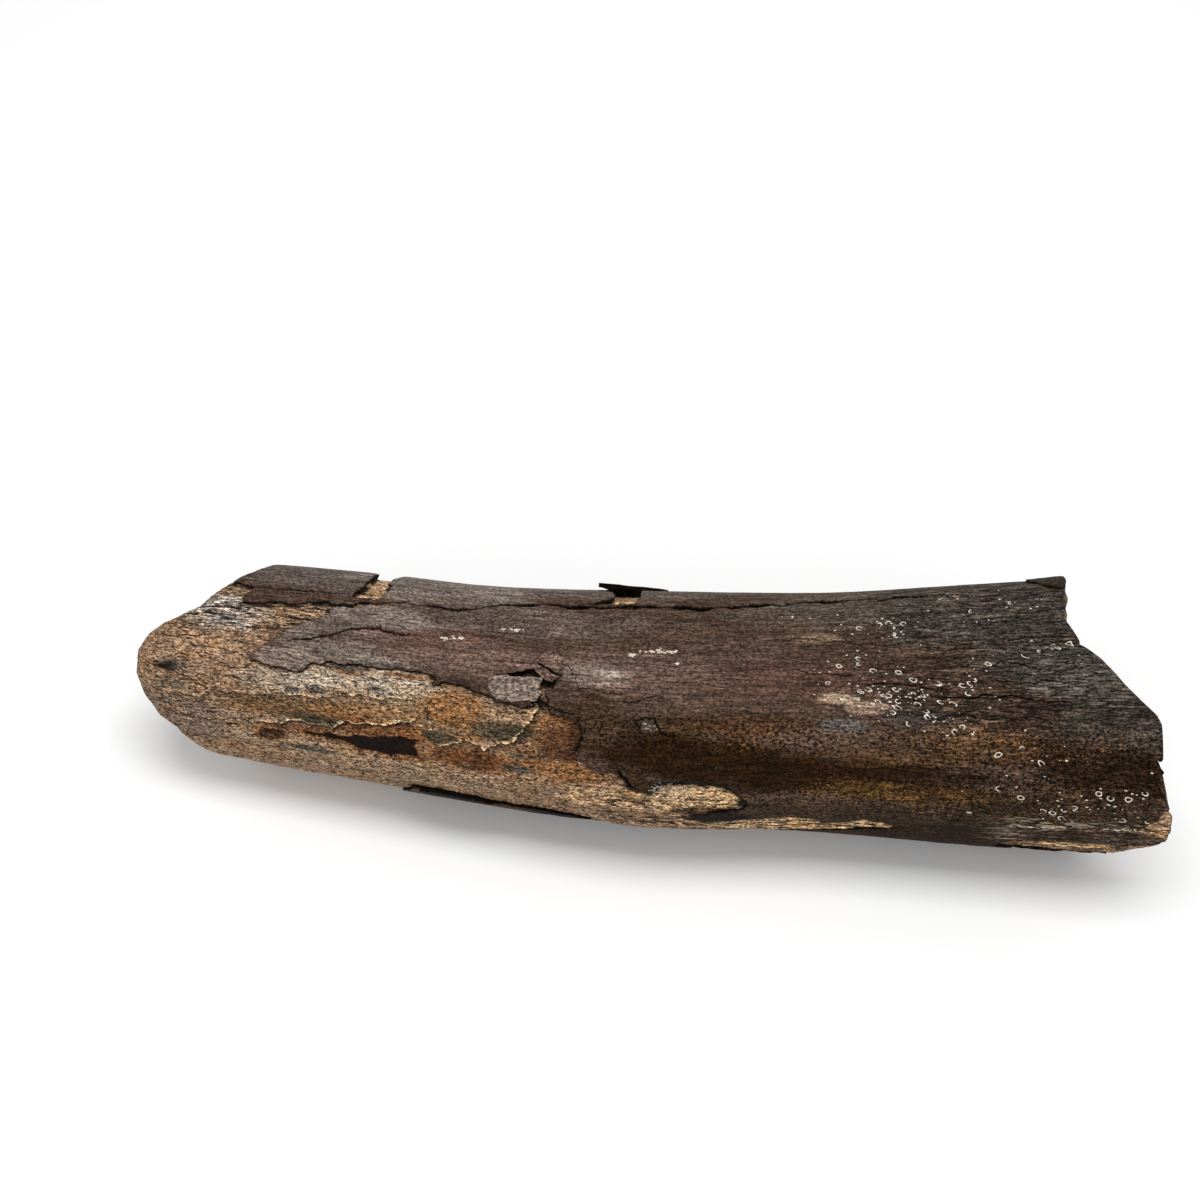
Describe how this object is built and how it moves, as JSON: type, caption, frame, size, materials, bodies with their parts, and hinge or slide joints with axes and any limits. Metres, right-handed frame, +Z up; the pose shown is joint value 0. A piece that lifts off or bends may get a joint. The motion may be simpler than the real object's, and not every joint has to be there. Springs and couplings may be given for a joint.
{
  "type": "fossil mammoth bone fragment",
  "caption": "Length of a mammoth's long-bone shaft, worn round at one end and broken off jagged at the other, with flaking dark skin over tan bone.",
  "frame": {"origin": "on the resting surface, under the middle of the fragment's box", "axes": "+X along the bone from its worn end to its broken end, -Y towards the side with the bared band, +Z up"},
  "size_m": [0.4353, 0.1121, 0.0984],
  "materials": {
    "fossil_bone": "satin dark brown skin, matt tan bone where it has flaked off"
  },
  "bodies": {
    "root": {"bone_fragment": "fossil_bone"}
  },
  "joints": []
}
